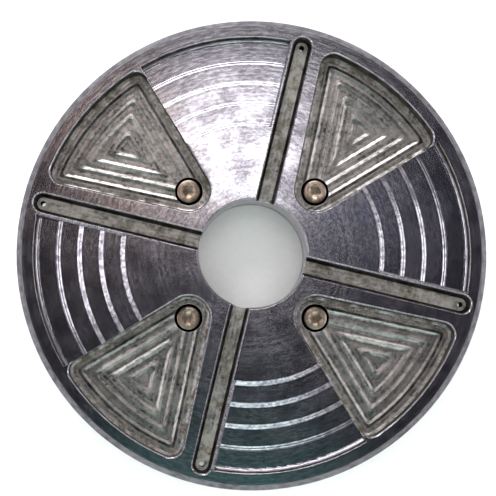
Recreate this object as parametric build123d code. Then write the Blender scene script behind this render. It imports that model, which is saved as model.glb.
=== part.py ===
from build123d import *
import math
import os

# Disc-type face mill, millimetres. +Z is the spindle axis and points at the spindle,
# so the machined back face is on top and the cutting edges stand on z = 0.

# driving dimensions of the disc
disc_radius = 130.0
bore_radius = 30.0
front_face_z = 10.0
back_face_z = 46.0
rim_chamfer = 1.6
bore_chamfer = 1.0
quadrants = 4
quadrant_angle = 360 / quadrants

# radial channels in the back face, open to the bore and closed short of the rim
channel_angle = 76.5
channel_width = 10.2
channel_depth = 9.0
channel_end_radius = 124.3
channel_floor_bevel = 1.6
rib_thickness = 2.2
rib_bevel = 1.0
mouth_bevel = 0.7

# screws that hold the disc on its hub ring: M8 socket head cap screws
screw_circle_radius = 50.0
screw_angle = 45.0
screw_head_radius = 6.5
screw_head_height = 8.0
head_chamfer = 0.6
screw_shank_radius = 4.0
screw_length = 16.0
screw_socket_flats = 6.0
screw_socket_depth = 4.0
screw_hole_gap = 0.5
counterbore_radius = 7.9
counterbore_depth = 8.2

# triangular lightening pockets in the back face
pocket_depth = 12.0
pocket_apex_radius = 12.0
pocket_outer_radius = 121.0
pocket_corner_radius = 7.0
pocket_side_tilt = 1.5
pass_pitch = 6.0
pass_count = 4
pass_depth = 0.5
pass_flank = 1.6
smallest_pass_corner = 2.0

# turned steps between a channel and the next pocket
first_step_radius = 70.5
step_pitch = 11.9
step_count = 4
step_drop = 1.5
riser_width = 2.6
wall_round_radius = 2.0
wall_slope_run = 0.8

# hub ring, let into the front face
hub_radius = 60.0
hub_front_z = 9.0
hub_back_z = 20.0
hub_fit_gap = 0.05
hub_seat_radius = 39.0
hub_seat_depth = 2.0
hub_edge_chamfer = 0.8
front_relief_inner = 64.0
front_relief_outer = 84.0
front_relief_depth = 2.0

# cutting stations: cartridges in grooves of the front face
groove_ceiling_z = 28.0
groove_inner_x = 90.0
groove_width = 20.0
slide_gap = 0.1
cartridge_bottom_z = 8.5
cartridge_top_z = 27.7
cartridge_outer_radius = 129.5
cartridge_edge_chamfer = 0.8
gullet_width = 25.0
gullet_inner_x = 100.0
gullet_corner_radius = 14.0
gullet_ceiling_z = 24.0
port_radius = 1.5
port_circle_radius = 119.5

# square positive inserts, standing on one corner
insert_side = 12.7
insert_thickness = 4.76
insert_clearance_angle = 11.0
insert_wiper = 1.6
insert_centre_x = 121.4
insert_proud = 0.3
insert_land = 1.1
insert_chip_groove = 0.25
insert_hole_radius = 2.2
insert_seat_gap = 0.05

# screws of a station
insert_screw_radius = 2.0
insert_screw_head_radius = 2.9
insert_screw_head_depth = 1.9
insert_screw_sink = 0.35
insert_screw_length = 10.0
insert_screw_socket_flats = 2.6
insert_screw_socket_depth = 1.6
clamp_y = 13.2
clamp_z = 20.4
clamp_head_seat_x = 122.5
clamp_head_radius = 4.25
clamp_head_height = 5.0
clamp_shank_radius = 2.5
clamp_length = 50.0
clamp_socket_flats = 4.0
clamp_socket_depth = 2.5
clamp_counterbore_radius = 4.7
clamp_hole_radius = 2.9
adjuster_x = 101.0
adjuster_y = 5.6
adjuster_radius = 3.0
adjuster_chamfer = 0.4
adjuster_bottom_z = 10.4
adjuster_socket_flats = 3.0
adjuster_socket_depth = 3.5
adjuster_travel = 0.5
thrust_pad_radius = 5.0
thrust_pad_thickness = 3.0
contact_gap = 0.05
thread_gap = 0.02
hole_overrun = 1.0

# worked-out sizes
pocket_floor_z = back_face_z - pocket_depth
counterbore_floor_z = pocket_floor_z - counterbore_depth
channel_floor_z = back_face_z - channel_depth
insert_half_diagonal = insert_side / math.sqrt(2)
insert_centre_z = insert_half_diagonal - insert_wiper / 2
pocket_side_a = channel_angle + pocket_side_tilt
pocket_side_b = screw_angle - math.degrees(math.asin(pocket_apex_radius / screw_circle_radius))
station_angle = channel_angle + math.degrees(math.asin(gullet_width / 2 / port_circle_radius))
cut_margin = 5.0


def placed(shape, angle):
    return Rot(0, 0, angle) * shape


def around(shape):
    return [placed(shape, quadrant_angle * k) for k in range(quadrants)]


def upright(radius, bottom, top, x=0.0, y=0.0):
    cylinder = Cylinder(radius, top - bottom, align=(Align.CENTER, Align.CENTER, Align.MIN))
    return Pos(x, y, bottom) * cylinder


def block(x_range, y_range, z_range):
    size = [high - low for low, high in (x_range, y_range, z_range)]
    corner = Pos(x_range[0], y_range[0], z_range[0])
    return corner * Box(*size, align=(Align.MIN, Align.MIN, Align.MIN))


def hexagon(flats, depth):
    outline = RegularPolygon(flats / 2, 6, major_radius=False)
    return extrude(outline, amount=depth)


def channel_outline(half_width):
    # straight sides and a full round at the closed end
    end_centre = channel_end_radius - channel_width / 2
    sides = Pos(end_centre / 2, 0) * Rectangle(end_centre, 2 * half_width)
    return sides + Pos(end_centre, 0) * Circle(half_width)


def channel_cut():
    wide = channel_outline(channel_width / 2)
    narrow = channel_outline(channel_width / 2 - channel_floor_bevel)
    bevel_z = channel_floor_z + channel_floor_bevel
    upper = Pos(0, 0, bevel_z) * extrude(wide, amount=back_face_z - bevel_z + cut_margin)
    floor = loft([Pos(0, 0, channel_floor_z) * narrow, Pos(0, 0, bevel_z) * wide], ruled=True)
    mouth = bevelled_mouth(wide, channel_outline(channel_width / 2 + mouth_bevel))
    port = upright(port_radius, gullet_ceiling_z - cut_margin, back_face_z, port_circle_radius)
    return placed(upper + floor + mouth + port, channel_angle)


def bevelled_mouth(outline, wider_outline):
    # the 45 degree bevel where an opening meets the back face
    low = Pos(0, 0, back_face_z - mouth_bevel) * outline
    high = Pos(0, 0, back_face_z) * wider_outline
    return loft([low, high], ruled=True)


def line_normal(angle):
    return Vector(-math.sin(math.radians(angle)), math.cos(math.radians(angle)))


def line_crossing(angle_a, offset_a, angle_b, offset_b):
    # a line runs at its angle and lies its offset to the left of the spindle axis
    na = line_normal(angle_a)
    nb = line_normal(angle_b)
    det = na.X * nb.Y - na.Y * nb.X
    x = (offset_a * nb.Y - offset_b * na.Y) / det
    y = (na.X * offset_b - nb.X * offset_a) / det
    return Vector(x, y)


def pocket_outline(inset):
    # two straight sides that touch a circle round the screw, and an arc round the spindle axis
    screw = Vector(screw_circle_radius, 0).rotate(Axis.Z, screw_angle)
    reach = pocket_apex_radius - inset
    offset_a = screw.dot(line_normal(pocket_side_a)) + reach
    offset_b = screw.dot(line_normal(pocket_side_b)) - reach
    apex = line_crossing(pocket_side_a, offset_a, pocket_side_b, offset_b)
    along_a = Vector(1, 0).rotate(Axis.Z, pocket_side_a) * 2 * disc_radius
    along_b = Vector(1, 0).rotate(Axis.Z, pocket_side_b) * 2 * disc_radius
    wedge = make_face(Polyline(apex, apex + along_b, apex + along_a, close=True))
    outline = wedge & Circle(pocket_outer_radius - inset)
    corners = outline.vertices().sort_by_distance((apex.X, apex.Y, 0))
    apex_round = max(reach, smallest_pass_corner)
    corner_round = max(pocket_corner_radius - inset, smallest_pass_corner)
    outline = fillet(corners[0], apex_round)
    outer_corners = outline.vertices().sort_by_distance((0, 0, 0))[-2:]
    return fillet(outer_corners, corner_round)


def milled_pass(outer_inset, inner_inset):
    # one shallow groove that a cutter leaves between two cusps; no inner inset clears the middle
    low_z = pocket_floor_z - pass_depth
    outer_top = Pos(0, 0, pocket_floor_z) * pocket_outline(outer_inset)
    outer_low = Pos(0, 0, low_z) * pocket_outline(outer_inset + pass_flank)
    groove = loft([outer_low, outer_top], ruled=True)
    if inner_inset is None:
        return groove
    inner_top = Pos(0, 0, pocket_floor_z) * pocket_outline(inner_inset)
    inner_low = Pos(0, 0, low_z) * pocket_outline(inner_inset - pass_flank)
    return groove - loft([inner_low, inner_top], ruled=True)


def pocket_cut():
    cut = Pos(0, 0, pocket_floor_z) * extrude(pocket_outline(0), amount=pocket_depth + cut_margin)
    cut += bevelled_mouth(pocket_outline(0), pocket_outline(-mouth_bevel))
    for k in range(pass_count):
        cut += milled_pass(k * pass_pitch, (k + 1) * pass_pitch)
    return cut + milled_pass(pass_count * pass_pitch, None)


def screw_hole():
    hole = upright(counterbore_radius, counterbore_floor_z, back_face_z, screw_circle_radius)
    clearance_radius = screw_shank_radius + screw_hole_gap
    hole += upright(clearance_radius, hub_back_z - cut_margin, back_face_z, screw_circle_radius)
    return placed(hole, screw_angle)


def step_profile():
    # flats joined by sloping risers, then a rounded foot and a steep wall up to the rim
    corners = []
    for k in range(step_count):
        r = first_step_radius + k * step_pitch
        z = back_face_z - k * step_drop
        corners += [(r, z), (r + riser_width, z - step_drop)]
    wall_foot = (first_step_radius + step_count * step_pitch, back_face_z - step_count * step_drop)
    wall_round = (wall_foot[0] + wall_round_radius, wall_foot[1] + wall_round_radius)
    rim_edge = (wall_round[0] + wall_slope_run, back_face_z)
    steps = Polyline(*corners, wall_foot)
    foot = TangentArc(wall_foot, wall_round, tangent=(1, 0))
    wall = Polyline(wall_round, rim_edge, corners[0])
    return Plane.XZ * make_face(steps + foot + wall)


def step_sector():
    # from the thin rib beside a channel to the straight side of the next pocket
    next_side = pocket_side_b + quadrant_angle
    rib_offset = channel_width / 2 + rib_thickness
    corner = line_crossing(channel_angle, rib_offset, next_side, 0)
    along_rib = Vector(1, 0).rotate(Axis.Z, channel_angle) * 2 * disc_radius
    along_pocket = Vector(1, 0).rotate(Axis.Z, next_side) * 2 * disc_radius
    wedge = make_face(Polyline(corner, corner + along_rib, corner + along_pocket, close=True))
    return Pos(0, 0, front_face_z) * extrude(wedge, amount=back_face_z)


def step_cut():
    steps = revolve(step_profile(), axis=Axis.Z) & step_sector()
    # bevel along the edge of the rib
    rib_edge_y = channel_width / 2 + rib_thickness
    bevel_length = pocket_outer_radius - first_step_radius
    bevel = Box(bevel_length, rib_bevel * math.sqrt(2), rib_bevel * math.sqrt(2))
    bevel = Pos(first_step_radius + bevel_length / 2, rib_edge_y, back_face_z) * Rot(45, 0, 0) * bevel
    return steps + placed(bevel, channel_angle)


def radial_cylinder(radius, inner_x, outer_x):
    # along a station's clamp screw
    cylinder = Cylinder(radius, outer_x - inner_x, align=(Align.CENTER, Align.CENTER, Align.MIN))
    return Pos(inner_x, clamp_y, clamp_z) * Rot(0, 90, 0) * cylinder


def station_cut():
    # the cartridge groove, the chip gullet ahead of it, and the tapped and pad holes
    open_end = 2 * disc_radius
    groove = block((groove_inner_x, open_end), (-slide_gap, groove_width + slide_gap),
                   (front_face_z - cut_margin, groove_ceiling_z))
    gullet = block((gullet_inner_x, open_end), (-gullet_width, slide_gap),
                   (front_face_z - cut_margin, gullet_ceiling_z))
    inner_edge = gullet.edges().filter_by(Axis.Z).sort_by_distance((gullet_inner_x, -gullet_width, 0))[0]
    gullet = fillet(inner_edge, gullet_corner_radius)
    pad_hole = upright(thrust_pad_radius, groove_ceiling_z - cut_margin,
                       groove_ceiling_z + thrust_pad_thickness, adjuster_x, adjuster_y)
    tapped_start = clamp_head_seat_x - clamp_length - hole_overrun
    tapped = radial_cylinder(clamp_shank_radius + thread_gap, tapped_start, disc_radius)
    return placed(groove + gullet + pad_hole + tapped, station_angle)


def make_disc():
    disc = upright(disc_radius, front_face_z, back_face_z)
    disc = chamfer(disc.edges().filter_by(GeomType.CIRCLE), rim_chamfer)
    disc -= upright(bore_radius, 0, back_face_z + cut_margin)
    back_face = disc.faces().sort_by(Axis.Z)[-1]
    disc = chamfer(back_face.inner_wires()[0].edges(), bore_chamfer)
    disc -= upright(hub_radius + hub_fit_gap, 0, hub_back_z)
    relief = upright(front_relief_outer, 0, front_face_z + front_relief_depth)
    disc -= relief - upright(front_relief_inner, 0, front_face_z + front_relief_depth)
    for cut in (step_cut(), channel_cut(), pocket_cut(), screw_hole(), station_cut()):
        for copy in around(cut):
            disc -= copy
    return disc


def make_hub_ring():
    ring = upright(hub_radius, hub_front_z, hub_back_z)
    ring = chamfer(ring.edges().filter_by(GeomType.CIRCLE).sort_by(Axis.Z)[0], hub_edge_chamfer)
    ring -= upright(bore_radius, 0, hub_back_z + cut_margin)
    ring -= upright(hub_seat_radius, 0, hub_front_z + hub_seat_depth)
    tapped = upright(screw_shank_radius + thread_gap, 0, hub_back_z, screw_circle_radius)
    for copy in around(placed(tapped, screw_angle)):
        ring -= copy
    return ring


def socket_screw(head_radius, head_height, shank_radius, length, flats, socket_depth):
    # a socket head cap screw standing on its tip end, head up, seat of the head at z = 0
    head = upright(head_radius, 0, head_height)
    head = chamfer(head.edges().filter_by(GeomType.CIRCLE).sort_by(Axis.Z)[-1], head_chamfer)
    shank = upright(shank_radius, -length, 0)
    shank = chamfer(shank.edges().filter_by(GeomType.CIRCLE).sort_by(Axis.Z)[0], head_chamfer)
    socket = Pos(0, 0, head_height - socket_depth) * hexagon(flats, socket_depth)
    return head + shank - socket


def make_hub_screw():
    screw = socket_screw(screw_head_radius, screw_head_height, screw_shank_radius, screw_length,
                         screw_socket_flats, screw_socket_depth)
    return placed(Pos(screw_circle_radius, 0, counterbore_floor_z) * screw, screw_angle)


def make_clamp_screw():
    screw = socket_screw(clamp_head_radius, clamp_head_height, clamp_shank_radius, clamp_length,
                         clamp_socket_flats, clamp_socket_depth)
    screw = Pos(clamp_head_seat_x, clamp_y, clamp_z) * Rot(0, 90, 0) * screw
    return placed(screw, station_angle)


def station_plane(y):
    # a plane across the station, seen from the leading side, centred on the insert
    return Plane(origin=(insert_centre_x, y, insert_centre_z), x_dir=(1, 0, 0), z_dir=(0, -1, 0))


def diamond(half_diagonal, nose):
    # a square on one corner, its four corners cut back by short flats
    reach = half_diagonal - nose / 2
    side = nose / 2
    corners = [(reach, side), (side, reach), (-side, reach), (-reach, side),
               (-reach, -side), (-side, -reach), (side, -reach), (reach, -side)]
    return make_face(Polyline(*corners, close=True))


def make_insert():
    front_y = -insert_proud
    back_y = front_y + insert_thickness
    shrink = insert_thickness * math.tan(math.radians(insert_clearance_angle)) * math.sqrt(2)
    rake = station_plane(front_y) * diamond(insert_half_diagonal, insert_wiper)
    back = station_plane(back_y) * diamond(insert_half_diagonal - shrink, insert_wiper)
    insert = loft([rake, back], ruled=True)
    inner_half = insert_half_diagonal - insert_land * math.sqrt(2)
    groove_top = station_plane(front_y) * diamond(inner_half, insert_wiper)
    groove_plane = station_plane(front_y + insert_chip_groove)
    groove_floor = groove_plane * diamond(inner_half - insert_land, insert_wiper)
    insert -= loft([groove_top, groove_floor], ruled=True)
    hole = crosswise_cylinder(insert_hole_radius, front_y - cut_margin, back_y + cut_margin)
    sink_top = front_y + insert_screw_sink
    sink = crosswise_cone(insert_screw_head_radius + insert_seat_gap, insert_hole_radius,
                          sink_top, sink_top + insert_screw_head_depth)
    mouth = crosswise_cylinder(insert_screw_head_radius + insert_seat_gap, front_y - cut_margin, sink_top)
    return placed(insert - hole - sink - mouth, station_angle)


def crosswise_cylinder(radius, low_y, high_y):
    cylinder = Cylinder(radius, high_y - low_y, align=(Align.CENTER, Align.CENTER, Align.MIN))
    return Pos(insert_centre_x, low_y, insert_centre_z) * Rot(-90, 0, 0) * cylinder


def crosswise_cone(low_radius, high_radius, low_y, high_y):
    cone = Cone(low_radius, high_radius, high_y - low_y, align=(Align.CENTER, Align.CENTER, Align.MIN))
    return Pos(insert_centre_x, low_y, insert_centre_z) * Rot(-90, 0, 0) * cone


def make_insert_screw():
    top_y = insert_screw_sink - insert_proud
    head_end = top_y + insert_screw_head_depth
    screw = crosswise_cone(insert_screw_head_radius, insert_screw_radius, top_y, head_end)
    screw += crosswise_cylinder(insert_screw_radius, head_end, top_y + insert_screw_length)
    socket = station_plane(top_y + insert_screw_socket_depth) * hexagon(
        insert_screw_socket_flats, insert_screw_socket_depth)
    return placed(screw - socket, station_angle)


def seat_outline(half_diagonal):
    # a V-shaped notch over the insert's upper corner, open downwards
    drop = 2 * half_diagonal
    corners = [(-half_diagonal, -drop), (-half_diagonal, 0), (0, half_diagonal),
               (half_diagonal, 0), (half_diagonal, -drop)]
    return make_face(Polyline(*corners, close=True))


def make_cartridge():
    body = block((groove_inner_x + slide_gap, disc_radius), (0, groove_width),
                 (cartridge_bottom_z, cartridge_top_z))
    body = chamfer(body.edges().filter_by(Axis.X).sort_by(Axis.Z)[:2], cartridge_edge_chamfer)
    body &= upright(cartridge_outer_radius, 0, back_face_z)
    seat_half = insert_half_diagonal + insert_seat_gap * math.sqrt(2)
    seat_back_y = insert_thickness - insert_proud
    shrink = seat_back_y * math.tan(math.radians(insert_clearance_angle)) * math.sqrt(2)
    body -= loft([station_plane(0) * seat_outline(seat_half),
                  station_plane(seat_back_y) * seat_outline(seat_half - shrink)], ruled=True)
    body -= crosswise_cylinder(insert_screw_radius + thread_gap, 0, seat_back_y + insert_screw_length)
    body -= upright(adjuster_radius + thread_gap, 0, back_face_z, adjuster_x, adjuster_y)
    return placed(body - clamp_slots(), station_angle)


def clamp_slots():
    # for the clamp screw and its head, tall enough that the cartridge can move past them
    hole = radial_cylinder(clamp_hole_radius, groove_inner_x, clamp_head_seat_x + hole_overrun)
    hole += radial_cylinder(clamp_counterbore_radius, clamp_head_seat_x, 2 * disc_radius)
    return hole + Pos(0, 0, adjuster_travel) * hole


def make_adjusting_screw():
    top_z = groove_ceiling_z - contact_gap
    screw = upright(adjuster_radius, adjuster_bottom_z, top_z, adjuster_x, adjuster_y)
    screw = chamfer(screw.edges().filter_by(GeomType.CIRCLE), adjuster_chamfer)
    socket = hexagon(adjuster_socket_flats, adjuster_socket_depth)
    screw -= Pos(adjuster_x, adjuster_y, adjuster_bottom_z) * socket
    return placed(screw, station_angle)


def make_thrust_pad():
    pad = upright(thrust_pad_radius, groove_ceiling_z, groove_ceiling_z + thrust_pad_thickness,
                  adjuster_x, adjuster_y)
    return placed(pad, station_angle)


nodes = {"body_disc": make_disc(), "hub_ring": make_hub_ring()}
repeated = {
    "hub_screw": make_hub_screw(),
    "cartridge": make_cartridge(),
    "insert": make_insert(),
    "insert_screw": make_insert_screw(),
    "clamp_screw": make_clamp_screw(),
    "adjusting_screw": make_adjusting_screw(),
    "thrust_pad": make_thrust_pad(),
}
for name, shape in repeated.items():
    for k, copy in enumerate(around(shape)):
        nodes[f"{name}_{k + 1}"] = copy

os.makedirs("parts", exist_ok=True)
for name, shape in nodes.items():
    export_step(shape, f"parts/{name}.step")
    print(name, round(shape.volume, 1))
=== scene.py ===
import math
from functools import partial

import bpy
import numpy as np
from mathutils import Matrix, Vector


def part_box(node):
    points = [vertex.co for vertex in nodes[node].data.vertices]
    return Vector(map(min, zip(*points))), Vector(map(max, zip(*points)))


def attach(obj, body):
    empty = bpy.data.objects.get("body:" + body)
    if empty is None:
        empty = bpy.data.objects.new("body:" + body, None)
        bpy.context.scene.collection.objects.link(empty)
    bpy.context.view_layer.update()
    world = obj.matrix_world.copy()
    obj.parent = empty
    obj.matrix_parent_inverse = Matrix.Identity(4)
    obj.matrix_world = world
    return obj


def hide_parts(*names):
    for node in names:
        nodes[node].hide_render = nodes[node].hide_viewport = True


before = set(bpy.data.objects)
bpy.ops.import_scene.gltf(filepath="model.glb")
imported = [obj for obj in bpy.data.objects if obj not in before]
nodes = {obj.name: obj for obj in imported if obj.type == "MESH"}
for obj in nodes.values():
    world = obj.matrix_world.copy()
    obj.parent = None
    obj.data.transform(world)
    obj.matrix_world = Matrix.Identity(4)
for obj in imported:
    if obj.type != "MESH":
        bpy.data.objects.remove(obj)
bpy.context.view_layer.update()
mm = 0.001
stations = (1, 2, 3, 4)
print("frame loaded,", len(nodes), "nodes")

# settings that many nodes share
times = {"operation": "MULTIPLY"}
timesPlus = {"operation": "MULTIPLY_ADD"}
smooth = {"interpolation_type": "SMOOTHSTEP"}
asColour = {"data_type": "RGBA", "output": 2}


def toLinear(hexColour):  # an sRGB hex such as "8A8C90" as the linear colour that a shader wants
    parts = [int(hexColour[i:i + 2], 16) / 255 for i in (0, 2, 4)]
    return tuple(c / 12.92 if c <= 0.04045 else ((c + 0.055) / 1.055) ** 2.4 for c in parts) + (1.0,)


def addNode(tree, kind, inputs=(), output=0, **settings):  # one node, its settings and what goes into it
    node = tree.nodes.new("ShaderNode" + kind)
    for key, value in settings.items():
        setattr(node, key, value)
    for key, value in inputs.items() if isinstance(inputs, dict) else enumerate(inputs):
        if isinstance(value, bpy.types.NodeSocket):
            tree.links.new(value, node.inputs[key])
        else:
            node.inputs[key].default_value = value
    return node.outputs[output] if node.outputs else None


def newMaterial(name):  # an empty material, and addNode for its tree
    material = bpy.data.materials.new(name)
    material.use_nodes = True
    material.node_tree.nodes.clear()
    return material, partial(addNode, material.node_tree)


def closeMaterial(add, inputs):
    add("OutputMaterial", {"Surface": add("BsdfPrincipled", inputs)})


def placeInMm(add):
    return add("VectorMath", {0: add("TexCoord", output="Object"), 3: 1 / mm}, operation="SCALE")


def product(add, *shares):
    total = shares[0]
    for share in shares[1:]:
        total = add("Math", (total, share), **times)
    return total


def spindleRadius(add, x, y):
    squares = add("Math", (x, x, product(add, y, y)), **timesPlus)
    return add("Math", (squares,), operation="SQRT")


# Where the pockets and channels lie. The screw beside each pocket gives the quarter its place.
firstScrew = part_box("hub_screw_1")
screwCentre = (firstScrew[0] + firstScrew[1]) / 2 / mm
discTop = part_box("body_disc")[1].z / mm
layout = {  # mm, and degrees; depths are from the back face
    "channelAngle": 76.5,        # first channel
    "pocketSideTilt": 1.5,       # away from the channel
    "apexRadius": 12.0,
    "pocketOuter": 121.0,
    "boreRadius": 30.0,
    "milledOuter": 124.0,        # no pocket or channel reaches further out
    "stepsDepth": 6.4,           # the turned steps lie above this
    "channelDepth": 9.0,
    "pocketDepth": 12.9,         # pocket floors and their passes lie above this
    "milledDepth": 21.0,         # and every hole from the back face lies above this
}


def lineNormal(degrees):
    return Vector((-math.sin(math.radians(degrees)), math.cos(math.radians(degrees))))


def quarterPlace(add, place):  # radius, and the place turned back into the first quarter
    x, y, z = add("SeparateXYZ", (place,), output=slice(0, 3))
    radius = spindleRadius(add, x, y)
    angle = add("Math", (y, x), operation="ARCTAN2")
    turn = add("Math", (angle, math.pi / 2), operation="FLOORED_MODULO")
    quarterX = product(add, radius, add("Math", (turn,), operation="COSINE"))
    quarterY = product(add, radius, add("Math", (turn,), operation="SINE"))
    return radius, quarterX, quarterY, z


def ringPlace(add, place, across):  # a place drawn out about three times along the rings
    level = add("VectorMath", (place, (1, 1, 0)), **times)
    way = add("VectorMath", (level,), operation="NORMALIZE")
    around = add("VectorMath", {0: way, 3: 30.0}, operation="SCALE")  # 90 mm out, 3 mm count as 1
    return add("VectorMath", (around, add("CombineXYZ", {2: across})), operation="ADD")


def lineDistance(add, x, y, degrees, offset):  # mm to the left of a line at that angle
    normal = lineNormal(degrees)
    across = add("Math", (x, normal.x, add("Math", (y, normal.y), **times)), **timesPlus)
    return add("Math", (across, offset), operation="SUBTRACT")


def pocketInset(add, radius, x, y):  # mm inwards from the nearest side of a pocket
    screw = Vector(screwCentre[:2])
    sideA = layout["channelAngle"] + layout["pocketSideTilt"]
    sideB = math.degrees(math.atan2(screw.y, screw.x) - math.asin(layout["apexRadius"] / screw.length))
    offsetA = screw.dot(lineNormal(sideA)) + layout["apexRadius"]
    fromA = product(add, lineDistance(add, x, y, sideA, offsetA), -1.0)
    fromB = lineDistance(add, x, y, sideB, 0.0)
    fromRim = add("Math", (layout["pocketOuter"], radius), operation="SUBTRACT")
    return add("Math", (add("Math", (fromA, fromB), operation="MINIMUM"), fromRim), operation="MINIMUM")


# Turned and milled aluminium. Turning leaves fine rings that draw a highlight out along the radius;
# end milling leaves a duller floor with cutter arcs; dried coolant browns the corners.
# Walls, holes, inner corners and the rim's edge get painted shade; outer edges a painted highlight.
discFinish = {
    "turned": "B4B0B7",
    "turnedDark": "66636D",
    "milled": "A9A5A3",
    "milledDark": "3B3835",
    "bright": "D6CCC9",          # freshly rubbed patches of the milled floors, a little pink
    # painted highlight on open outer edges, partly wear
    "wornHighlight": "F0EEEE",
    "film": "3F3824",            # thin film, olive
    "paintedShade": "12100D",            # painted shade, near black: holes, walls, inner corners and the rim's edge
    "deposit": "A39F98",         # light scale left along the channels
    "turnedRoughness": 0.15,
    "milledRoughness": 0.31,
    "ringPitch": 2.6,            # mm; a real feed is 0.15 mm, drawn coarser so that it shows
    "ringDepth": 0.002,          # mm
    "cutterPitch": 2.4,          # mm; arcs of the end mill, really 0.3 mm apart
    "cutterDepth": 0.02,
    "mottle": 2.6,               # mm, grain of the milled floors
    "stain": 15.0,               # mm, size of the stains
    "edgeRound": 0.3,            # mm, broken edges
    "highlightReach": 0.5,            # mm, how far the painted highlight reaches in from an edge
    "wallShadeShare": 0.85,            # share of painted shade on the pocket and channel walls
    "rimShadeShare": 0.5,              # share of painted shade on the broken edge of the rim
    "creaseShadeReach": 1.8,          # mm, how far painted shade spreads from an inner corner
    "riserPitch": 1.3,           # mm, chatter lines of the form tool down the slopes of the steps
    "riserDepth": 0.05,          # mm
    "streak": 1.1,               # mm across the rings; a streak is about three times as long
    "anisotropy": 0.45,
}


def edgeMasks(add):  # painted highlight on outer edges, partly wear, and painted shade in inner corners
    normal = add("NewGeometry", output="Normal")
    rounded = add("Bevel", {"Radius": discFinish["highlightReach"] * mm}, samples=6)
    facing = add("VectorMath", (normal, rounded), output=1, operation="DOT_PRODUCT")
    turning = add("MapRange", (facing, 0.75, 0.995, 1.0, 0.0), **smooth)
    openness = add("AmbientOcclusion", {"Distance": discFinish["creaseShadeReach"] * mm}, output="AO",
                   samples=8, only_local=True)
    creaseShade = add("MapRange", (openness, 0.35, 0.9, 1.0, 0.0), **smooth)
    wornHighlight = product(add, turning, add("MapRange", (openness, 0.8, 0.97), **smooth))
    return wornHighlight, creaseShade


def millingMasks(add, radius, depth, normalZ):  # all milled work; its steep walls and hole floors as painted shade, and its channel floors
    bore, outer = layout["boreRadius"], layout["milledOuter"]
    inside = product(add, add("MapRange", (radius, bore + 0.2, bore + 0.6), **smooth),
                     add("MapRange", (radius, outer, outer + 1.5, 1.0, 0.0), **smooth))
    below = add("MapRange", (depth, layout["stepsDepth"], layout["stepsDepth"] + 0.5), **smooth)
    above = add("MapRange", (depth, layout["milledDepth"], layout["milledDepth"] + 1.0, 1.0, 0.0), **smooth)
    wall = add("MapRange", (normalZ, 0.2, 0.4, 1.0, 0.0), **smooth)
    milled = product(add, inside, above, add("Math", (below, wall), operation="MAXIMUM"))
    steepShade = product(add, milled, add("MapRange", (normalZ, 0.72, 0.8, 1.0, 0.0), **smooth),
                    add("MapRange", (depth, 0.8, 1.6), **smooth), discFinish["wallShadeShare"])
    floor = layout["channelDepth"]
    channel = product(add, milled, add("MapRange", (depth, floor + 0.3, floor + 0.8, 1.0, 0.0), **smooth),
                      add("MapRange", (depth, floor - 0.6, floor - 0.2), **smooth))
    # painted shade in the holes below the pocket floors
    deepest = layout["pocketDepth"]
    holeShade = product(add, milled, add("MapRange", (depth, deepest, deepest + 0.5), **smooth))
    return milled, steepShade, channel, holeShade


def turnedSkin(add, place, across, radius, normalZ, milled):  # colour, roughness and normal of turned faces
    rings = add("Math", (product(add, across, 2 * math.pi / discFinish["ringPitch"]),), operation="SINE")
    bands = add("TexNoise", {"Vector": add("CombineXYZ", (across,)), "Scale": 1 / 3.4, "Detail": 2.0,
                             "Roughness": 0.6})
    stains = add("TexNoise", {"Vector": place, "Scale": 1 / discFinish["stain"], "Detail": 5.0,
                              "Roughness": 0.6})
    streaks = add("TexNoise", {"Vector": ringPlace(add, place, across), "Scale": 1 / discFinish["streak"],
                               "Detail": 3.0, "Roughness": 0.6})
    stainShare = add("MapRange", (stains, 0.36, 0.64), **smooth)
    bandShare = add("MapRange", (bands, 0.3, 0.7), **smooth)
    dark = add("Math", (bandShare, 0.3, product(add, stainShare, 0.25)), **timesPlus)
    dark = add("Math", (add("MapRange", (streaks, 0.4, 0.62), **smooth), 0.45, dark), **timesPlus)
    colour = add("Mix", {0: dark, 6: toLinear(discFinish["turned"]), 7: toLinear(discFinish["turnedDark"])},
                 **asColour)
    rough = add("Math", (stainShare, 0.07, discFinish["turnedRoughness"]), **timesPlus)

    # the slopes between the steps carry chatter lines, the flats only fine rings
    turned = add("Math", (1.0, milled), operation="SUBTRACT")
    riser = product(add, turned, add("MapRange", (normalZ, 0.3, 0.4), **smooth),
                    add("MapRange", (normalZ, 0.95, 0.99, 1.0, 0.0), **smooth),
                    add("MapRange", (radius, 66.0, 68.0), **smooth))  # out from the first step
    chatter = add("Math", (product(add, radius, 2 * math.pi / discFinish["riserPitch"]),), operation="SINE")
    riserHeight = product(add, riser, add("Math", (streaks, 3.0, chatter), **timesPlus))
    edges = add("Bevel", {"Radius": discFinish["edgeRound"] * mm}, samples=4)
    normal = add("Bump", {"Height": riserHeight, "Distance": discFinish["riserDepth"] * mm, "Normal": edges})
    height = product(add, turned, add("Math", (bands, 2.0, rings), **timesPlus))
    normal = add("Bump", {"Height": height, "Distance": discFinish["ringDepth"] * mm, "Normal": normal})
    return colour, rough, normal


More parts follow.
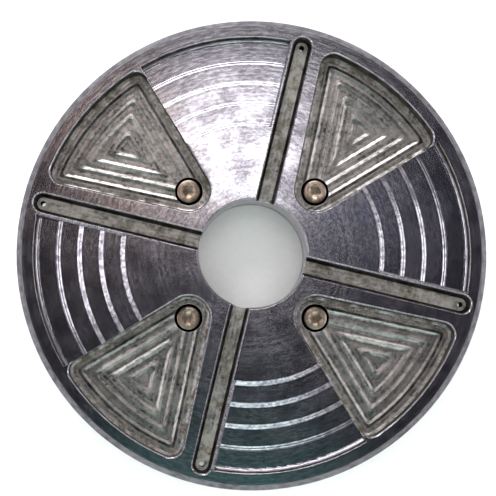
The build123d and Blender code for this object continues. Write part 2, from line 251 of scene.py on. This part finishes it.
def milledSkin(add, place, inset):  # colour, roughness and height; the passes run parallel to the pocket
    mottle = add("TexNoise", {"Vector": place, "Scale": 1 / discFinish["mottle"], "Detail": 4.0,
                              "Roughness": 0.7})
    patches = add("TexNoise", {"Vector": place, "Scale": 1 / 11, "Detail": 3.0, "Roughness": 0.6})
    rubbed = add("TexNoise", {"Vector": place, "Scale": 1 / 9, "Detail": 5.0, "Roughness": 0.65})
    wander = add("Math", (mottle, 4.0, inset), **timesPlus)
    arcs = add("Math", (product(add, wander, 2 * math.pi / discFinish["cutterPitch"]),), operation="SINE")
    arcShare = product(add, add("MapRange", (arcs, -0.2, 1.0), **smooth), 0.55,
                       add("MapRange", (patches, 0.35, 0.65), **smooth))
    dark = add("Math", (add("MapRange", (mottle, 0.38, 0.64), **smooth), 0.55, arcShare), **timesPlus)
    colour = add("Mix", {0: dark, 6: toLinear(discFinish["milled"]), 7: toLinear(discFinish["milledDark"])},
                 **asColour)
    blush = product(add, add("MapRange", (rubbed, 0.44, 0.62), **smooth), 0.4)
    colour = add("Mix", {0: blush, 6: colour, 7: toLinear(discFinish["bright"])}, **asColour)
    rough = add("Math", (mottle, 0.2, discFinish["milledRoughness"] - 0.1), **timesPlus)
    return colour, rough, add("Math", (mottle, 3.0, arcs), **timesPlus)


def turnedAluminium():
    material, add = newMaterial("turnedAluminium")
    place = placeInMm(add)
    radius, x, y, z = quarterPlace(add, place)
    depth = add("Math", (discTop, z), operation="SUBTRACT")
    across = add("Math", (radius, z), operation="ADD")  # so that rings go round rim and bore alike
    trueNormal = add("NewGeometry", output="True Normal")
    normalZ = add("SeparateXYZ", (trueNormal,), output=2)
    milled, steepShade, channel, holeShade = millingMasks(add, radius, depth, normalZ)
    turnedColour, turnedRough, turnedNormal = turnedSkin(add, place, across, radius, normalZ, milled)
    inset = pocketInset(add, radius, x, y)
    milledColour, milledRough, milledHeight = milledSkin(add, place, inset)

    # film of dried coolant: thin in the pockets' corners, scale in channels; near-black painted shade on
    # walls, in holes, in inner corners and on the rim's edge
    wornHighlight, creaseShade = edgeMasks(add)
    blots = add("TexNoise", {"Vector": place, "Scale": 1 / 7, "Detail": 5.0, "Roughness": 0.65})
    crust = add("TexNoise", {"Vector": place, "Scale": 1 / 4, "Detail": 5.0, "Roughness": 0.7})
    thin = product(add, milled, add("MapRange", (inset, 0.2, 8.0, 0.95, 0.0), **smooth),
                   add("MapRange", (blots, 0.42, 0.62), **smooth))
    scale = product(add, channel, add("MapRange", (crust, 0.35, 0.6), **smooth),
                    add("MapRange", (radius, 60.0, 118.0, 0.3, 0.85), **smooth))
    # painted shade: steep walls, holes and inner corners
    wallShade = add("Math", (steepShade, holeShade), operation="MAXIMUM")
    wallShade = add("Math", (wallShade, product(add, creaseShade, 0.85)), operation="MAXIMUM")
    # painted shade, a dark band on the rim's broken edge
    rimEdgeShade = product(add, add("MapRange", (radius, 126.5, 128.5), **smooth),
                      add("MapRange", (depth, 2.0, 4.0, 1.0, 0.0), **smooth), discFinish["rimShadeShare"])
    paintedShadeShare = add("Math", (product(add, milled, wallShade), rimEdgeShade), operation="MAXIMUM")
    film = add("Math", (scale, add("Math", (thin, paintedShadeShare), operation="MAXIMUM")), operation="MAXIMUM")

    colour = add("Mix", {0: milled, 6: turnedColour, 7: milledColour}, **asColour)
    # the first share is a painted edge highlight, partly wear; the last is painted shade
    for share, finish in ((product(add, wornHighlight, 0.8), "wornHighlight"), (thin, "film"), (scale, "deposit"),
                          (paintedShadeShare, "paintedShade")):
        colour = add("Mix", {0: share, 6: colour, 7: toLinear(discFinish[finish])}, **asColour)
    rough = add("Mix", {0: milled, 2: turnedRough, 3: milledRough})
    rough = add("Mix", {0: paintedShadeShare, 2: add("Mix", {0: film, 2: rough, 3: 0.6}), 3: 0.95})
    metal = add("Mix", {0: paintedShadeShare, 2: add("Mix", {0: film, 2: 1.0, 3: 0.25}), 3: 1.0})
    normal = add("Bump", {"Height": product(add, milled, milledHeight),
                          "Distance": discFinish["cutterDepth"] * mm, "Normal": turnedNormal})
    closeMaterial(add, {"Base Color": colour, "Metallic": metal, "Roughness": rough, "Normal": normal,
                        "Tangent": add("Tangent", direction_type="RADIAL", axis="Z"),
                        "Anisotropic": discFinish["anisotropy"], "Anisotropic Rotation": 0.25})
    return material


# Steels, each a plain metal with the marks of how it was finished.
# Grain, depth and rings are in mm. Real turning marks lie near 0.2 mm apart, drawn coarser to show.
steels = {
    # free-cutting steel, turned and lightly ground: soft rings, cool grey
    "groundSteel": {"colour": "8D8C8B", "dark": "6A6968", "roughness": 0.28, "grain": 1.1,
                    "depth": 0.006, "rings": 1.2},
    # zinc plate worn by the key and by chips: warm, cloudy, a little pink
    "wornZincPlate": {"colour": "CDB9A9", "dark": "9A8474", "roughness": 0.34, "grain": 0.8,
                      "depth": 0.012, "rings": 0.7},
    # black oxide over forged screw steel: near black, satin, grey where it is rubbed
    "blackOxideSteel": {"colour": "2B2A2B", "dark": "161517", "roughness": 0.38, "grain": 0.5,
                        "depth": 0.006, "rings": 0.0},
    # electroless nickel over milled tool steel: even, slightly yellow, satin
    "nickelPlatedSteel": {"colour": "B3AFA4", "dark": "8F8B80", "roughness": 0.27, "grain": 1.4,
                          "depth": 0.006, "rings": 0.0},
    # hardened and lapped steel: bright and smooth
    "lappedSteel": {"colour": "B9BABC", "dark": "9C9DA0", "roughness": 0.16, "grain": 0.4,
                    "depth": 0.002, "rings": 0.0},
    # carbide pressed to shape under a thin nitride coating: gold, fine sandy skin
    "nitrideCoatedCarbide": {"colour": "C99A3F", "dark": "A87B2C", "roughness": 0.3, "grain": 0.3,
                             "depth": 0.003, "rings": 0.0},
}


def steelMaterial(name):
    finish = steels[name]
    material, add = newMaterial(name)
    place = placeInMm(add)
    fine = add("TexNoise", {"Vector": place, "Scale": 1 / finish["grain"], "Detail": 4.0, "Roughness": 0.65})
    broad = add("TexNoise", {"Vector": place, "Scale": 1 / (8 * finish["grain"]), "Detail": 4.0,
                             "Roughness": 0.6})
    cloud = add("Math", (broad, 0.7, product(add, fine, 0.3)), **timesPlus)
    dark = add("MapRange", (cloud, 0.38, 0.62), **smooth)
    colour = add("Mix", {0: dark, 6: toLinear(finish["colour"]), 7: toLinear(finish["dark"])}, **asColour)
    rough = add("Math", (broad, 0.16, finish["roughness"] - 0.06), **timesPlus)
    height = fine
    if finish["rings"]:  # turning marks round the spindle axis
        x, y, z = add("SeparateXYZ", (place,), output=slice(0, 3))
        across = add("Math", (spindleRadius(add, x, y), z), operation="ADD")
        turns = add("Math", (product(add, across, 2 * math.pi / finish["rings"]),), operation="SINE")
        height = add("Math", (turns, 0.5, fine), **timesPlus)
    edges = add("Bevel", {"Radius": 0.2 * mm}, samples=4)
    normal = add("Bump", {"Height": height, "Distance": finish["depth"] * mm, "Normal": edges})
    closeMaterial(add, {"Base Color": colour, "Metallic": 1.0, "Roughness": rough, "Normal": normal})
    return material


materials = {name: steelMaterial(name) for name in steels}
materials["turnedAluminium"] = turnedAluminium()
print("materials made,", len(materials))


def dress(piece, materialName):
    piece.data.materials.clear()
    piece.data.materials.append(materials[materialName])


nodeFinish = {"body_disc": "turnedAluminium", "hub_ring": "groundSteel"}
for k in stations:
    nodeFinish[f"cartridge_{k}"] = "nickelPlatedSteel"
    nodeFinish[f"insert_{k}"] = "nitrideCoatedCarbide"
    nodeFinish[f"thrust_pad_{k}"] = "lappedSteel"
for nodeName, finishName in nodeFinish.items():
    dress(nodes[nodeName], finishName)


# Screws get their real threads, sockets and knurls here, on the places of the plain CAD solids.
# Lengths in mm. threadPitch and threadLength shape the helix; knurls is the number of ribs on the head.
screwKinds = {
    "hub_screw": {"finish": "wornZincPlate", "slot": "bright_screw_steel", "headHeight": 8.0,
                  "shank": 4.0, "socket": 3.0, "socketDepth": 4.0,
                  "threadPitch": 1.25, "threadLength": 16.0, "knurls": 36},
    "clamp_screw": {"finish": "blackOxideSteel", "slot": "black_screw_steel", "headHeight": 5.0,
                    "shank": 2.5, "socket": 2.0, "socketDepth": 2.5,
                    "threadPitch": 0.8, "threadLength": 16.0, "knurls": 36},
    "adjusting_screw": {"finish": "blackOxideSteel", "slot": "black_screw_steel", "headHeight": 0.0,
                        "shank": 3.0, "socket": 1.5, "socketDepth": 3.5,
                        "threadPitch": 0.5, "threadLength": 17.0, "knurls": 0},
    "insert_screw": {"finish": "blackOxideSteel", "slot": "black_screw_steel", "headHeight": 1.9,
                     "shank": 2.0, "socket": 1.3, "socketDepth": 1.6,
                     "threadPitch": 0.7, "threadLength": 7.0, "knurls": 0},
}
spokes = 72  # vertices in each ring of a screw


def levelRing(radius, z, shape=None):  # one ring of points; shape scales the radius by angle
    ring = []
    for i in range(spokes):
        angle = 2 * math.pi * i / spokes
        reach = radius * shape(angle) if shape else radius
        ring.append((reach * math.cos(angle), reach * math.sin(angle), z))
    return ring


def hexShape(a):
    sixth = math.pi / 3
    return 1 / math.cos((a % sixth) - sixth / 2)


def starShape(a):  # six lobes
    return 1.0 + 0.13 * math.cos(6 * a)


def knurlShape(knurls, depth):
    return lambda a: 1 - depth * (0.5 - 0.5 * math.cos(knurls * a)) if knurls else 1


def threadRings(radius, low, high, pitch):  # a V-shaped helix, its crests at the radius
    rings = []
    steps = max(1, round((high - low) / pitch * 6))
    for i in range(steps + 1):
        z = low + (high - low) * i / steps
        ease = min(1.0, (z - low) / pitch, (high - z) / pitch)
        rings.append(levelRing(radius, z, lambda a: 1 - ease * 0.61 * pitch / radius * abs(
            2 * ((z / pitch - a / (2 * math.pi)) % 1) - 1)))
    return rings


def skin(name, rings, place):  # a closed surface over the rings, first and last one capped
    verts = [Vector(p) * mm for ring in rings for p in ring]
    faces = []
    for r in range(len(rings) - 1):
        for i in range(spokes):
            j = (i + 1) % spokes
            low, high = r * spokes, (r + 1) * spokes
            faces.append((low + i, low + j, high + j, high + i))
    faces.append(tuple(reversed(range(spokes))))
    faces.append(tuple(range((len(rings) - 1) * spokes, len(rings) * spokes)))
    mesh = bpy.data.meshes.new(name)
    mesh.from_pydata(verts, [], faces)
    mesh.transform(place)
    mesh.shade_smooth()
    mesh.update()
    piece = bpy.data.objects.new(name, mesh)
    bpy.context.scene.collection.objects.link(piece)
    mesh.set_sharp_from_angle(angle=math.radians(35))
    return piece


def socketRings(top, shape, size, depth):  # from the mouth of a socket to its drilled bottom
    return [levelRing(size * 1.2, top), levelRing(size, top - 0.12 * size, shape),
            levelRing(size, top - depth, shape), levelRing(size * 0.2, top - depth - 0.3 * size)]


def capScrewRings(kind, headRadius, length):  # origin under the head, the head up
    shank, height, chamfer = kind["shank"], kind["headHeight"], 0.5
    knurl = knurlShape(kind["knurls"], 0.022)
    threadTop = min(0.0, kind["threadLength"] - length)
    rings = [levelRing(shank * 0.78, -length), levelRing(shank * 0.82, -length + 0.05)]
    rings += threadRings(shank, -length + 0.6, threadTop - 0.3, kind["threadPitch"])
    rings += [levelRing(shank, threadTop), levelRing(shank, -0.4), levelRing(shank * 1.07, 0),
              levelRing(headRadius - 0.25, 0), levelRing(headRadius, 0.25, knurl)]
    rings += [levelRing(headRadius, height - chamfer - 0.5, knurl),
              levelRing(headRadius - 0.05, height - chamfer),
              levelRing(headRadius - 0.2, height - 0.15), levelRing(headRadius - chamfer, height)]
    return rings + socketRings(height, hexShape, kind["socket"], kind["socketDepth"])


def setScrewRings(kind, length):  # threaded over its whole length, socket up
    shank = kind["shank"]
    rings = [levelRing(shank * 0.6, -length), levelRing(shank * 0.84, -length + 0.3)]
    rings += threadRings(shank, -length + 0.6, -0.5, kind["threadPitch"])
    rings.append(levelRing(shank * 0.86, 0))
    return rings + socketRings(0, hexShape, kind["socket"], kind["socketDepth"])


def countersunkRings(kind, headRadius, length):
    shank, height = kind["shank"], kind["headHeight"]
    rings = [levelRing(shank * 0.7, -length), levelRing(shank * 0.84, -length + 0.3)]
    rings += threadRings(shank, -length + 0.6, -height - 0.6, kind["threadPitch"])
    rings += [levelRing(shank, -height), levelRing(headRadius - 0.12, -0.12),
              levelRing(headRadius - 0.25, 0)]
    return rings + socketRings(0, starShape, kind["socket"], kind["socketDepth"])


def alongScrew(nodeName):  # the long axis of a screw's CAD solid
    co = np.array([v.co for v in nodes[nodeName].data.vertices])
    return Vector(np.linalg.eigh(np.cov((co - co.mean(0)).T))[1][:, -1])


def screwPlace(nodeName, headWay):  # where the top of its head lies, its length and its widest radius
    turn = headWay.normalized().to_track_quat("Z", "Y").to_matrix()
    co = np.array([v.co for v in nodes[nodeName].data.vertices]) @ np.array(turn)
    low, high = co.min(0), co.max(0)
    top = turn @ Vector(((low[0] + high[0]) / 2, (low[1] + high[1]) / 2, high[2]))
    length, width = (high[2] - low[2]) / mm, (high[0] - low[0]) / mm
    return Matrix.Translation(top) @ turn.to_4x4(), length, width / 2


up = Vector((0, 0, 1))


def makeScrew(kindName, k, headWay, body):
    kind = screwKinds[kindName]
    nodeName = f"{kindName}_{k}"
    place, length, radius = screwPlace(nodeName, headWay)
    if kind["knurls"]:  # its rings start at the seat under the head
        place = place @ Matrix.Translation((0, 0, -kind["headHeight"] * mm))
        rings = capScrewRings(kind, radius, length - kind["headHeight"])
    elif kindName == "insert_screw":
        rings = countersunkRings(kind, radius, length)
    else:
        rings = setScrewRings(kind, length)
    piece = skin(f"{kindName}_detail_{k}", rings, place)
    dress(piece, kind["finish"])
    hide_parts(nodeName)
    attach(piece, body)


for k in stations:
    outward = alongScrew(f"clamp_screw_{k}")
    middle = sum(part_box(f"clamp_screw_{k}"), Vector()) / 2
    if outward.dot(middle) < 0:
        outward = -outward
    ahead = outward.cross(up)
    makeScrew("hub_screw", k, up, "disc_body")
    makeScrew("clamp_screw", k, outward, "disc_body")
    makeScrew("insert_screw", k, ahead, f"cartridge_body_{k}")
    makeScrew("adjusting_screw", k, -up, f"adjuster_body_{k}")
print("screws made")


# Studio: a pale floor, a sky that is dark overhead and bright near the horizon, and soft lamps.
studio = {
    "floorColour": "FBFBFA",
    "floorGrain": "EFEFED",
    "floorSize": 6.0,            # m
    "skyTop": "2C2B31",
    "skySide": "FAFAFA",
    "skyStrength": 1.25,
    "cameraDistance": 0.9,       # m
    "cameraTilt": 4.6,           # degrees from the spindle axis
    "cameraTurn": 30.0,          # degrees, towards the lower left
    "aimX": -2.7,                # mm
    "aimY": 2.9,
    "lens": 118.4,               # mm
}
lamps = {  # place in m, power in W, width in m, colour
    "keyLamp": {"place": (0.03, 0.18, 0.98), "power": 0.34, "size": 0.13, "colour": "FFFFFF"},
    "windowLamp": {"place": (0.15, 0.1, 0.98), "power": 0.008, "size": 0.08, "colour": "C6D4FF"},
    "warmLamp": {"place": (-0.08, 0.17, 0.98), "power": 0.1, "size": 0.07, "colour": "FFE2CC"},
    "tealLamp": {"place": (-0.03, -0.37, 0.95), "power": 0.3, "size": 0.4, "colour": "7FD0C4"},
    "upperLamp": {"place": (-0.25, 1.45, 1.0), "power": 28.0, "size": 1.2, "colour": "FFFFFF"},
    "lowerLamp": {"place": (0.0, -1.5, 1.0), "power": 11.0, "size": 1.2, "colour": "CFEDE8"},
    "leftLamp": {"place": (-1.5, 0.0, 0.9), "power": 12.0, "size": 1.0, "colour": "FFFFFF"},
    "rightLamp": {"place": (1.5, 0.0, 0.9), "power": 9.0, "size": 1.0, "colour": "FFFFFF"},
    "floorLamp": {"place": (0.0, 0.0, 1.6), "power": 14.0, "size": 1.5, "colour": "FFFFFF",
                  "floorOnly": True},
}


def makeFloor():
    half = studio["floorSize"] / 2
    mesh = bpy.data.meshes.new("floor")
    corners = [(-half, -half, 0), (half, -half, 0), (half, half, 0), (-half, half, 0)]
    mesh.from_pydata(corners, [], [(0, 1, 2, 3)])
    floor = bpy.data.objects.new("floor", mesh)
    bpy.context.scene.collection.objects.link(floor)
    material, add = newMaterial("paleFloor")
    grain = add("TexNoise", {"Vector": placeInMm(add), "Scale": 1 / 3, "Detail": 3.0, "Roughness": 0.55})
    colour = add("Mix", {0: grain, 6: toLinear(studio["floorColour"]), 7: toLinear(studio["floorGrain"])},
                 **asColour)
    normal = add("Bump", {"Height": grain, "Distance": 0.02 * mm})
    closeMaterial(add, {"Base Color": colour, "Roughness": 0.8, "Normal": normal})
    mesh.materials.append(material)


def makeSky():
    world = bpy.data.worlds.new("studioSky")
    bpy.context.scene.world = world
    world.use_nodes = True
    world.node_tree.nodes.clear()
    add = partial(addNode, world.node_tree)
    height = add("SeparateXYZ", (add("TexCoord", output="Generated"),), output=2)
    share = add("MapRange", (height, 0.45, 0.98), **smooth)
    side, top = toLinear(studio["skySide"]), toLinear(studio["skyTop"])
    colour = add("Mix", {0: share, 6: side, 7: top}, **asColour)
    add("OutputWorld", {"Surface": add("Background", {"Color": colour, "Strength": studio["skyStrength"]})})


def makeLamp(name):
    lamp = lamps[name]
    data = bpy.data.lights.new(name, "AREA")
    data.energy = lamp["power"]
    data.size = lamp["size"]
    data.color = toLinear(lamp["colour"])[:3]
    piece = bpy.data.objects.new(name, data)
    piece.location = lamp["place"]
    piece.rotation_euler = (-Vector(lamp["place"])).to_track_quat("-Z", "Y").to_euler()
    piece.visible_glossy = not lamp.get("floorOnly", False)  # metal only shows what it mirrors
    bpy.context.scene.collection.objects.link(piece)


def makeCamera():
    data = bpy.data.cameras.new("camera")
    data.lens = studio["lens"]
    camera = bpy.data.objects.new("camera", data)
    tilt = math.radians(studio["cameraTilt"])
    turn = math.radians(studio["cameraTurn"])
    aim = Vector((studio["aimX"], studio["aimY"], discTop)) * mm
    away = Vector((-math.sin(tilt) * math.sin(turn), -math.sin(tilt) * math.cos(turn), math.cos(tilt)))
    camera.location = aim + away * studio["cameraDistance"]
    side = Vector((0, 1, 0)).cross(away).normalized()
    camera.rotation_euler = Matrix((side, away.cross(side), away)).transposed().to_euler()
    bpy.context.scene.collection.objects.link(camera)
    bpy.context.scene.camera = camera


makeFloor()
makeSky()
for name in lamps:
    makeLamp(name)
makeCamera()
bpy.context.scene.view_settings.view_transform = "Standard"
print("studio made")
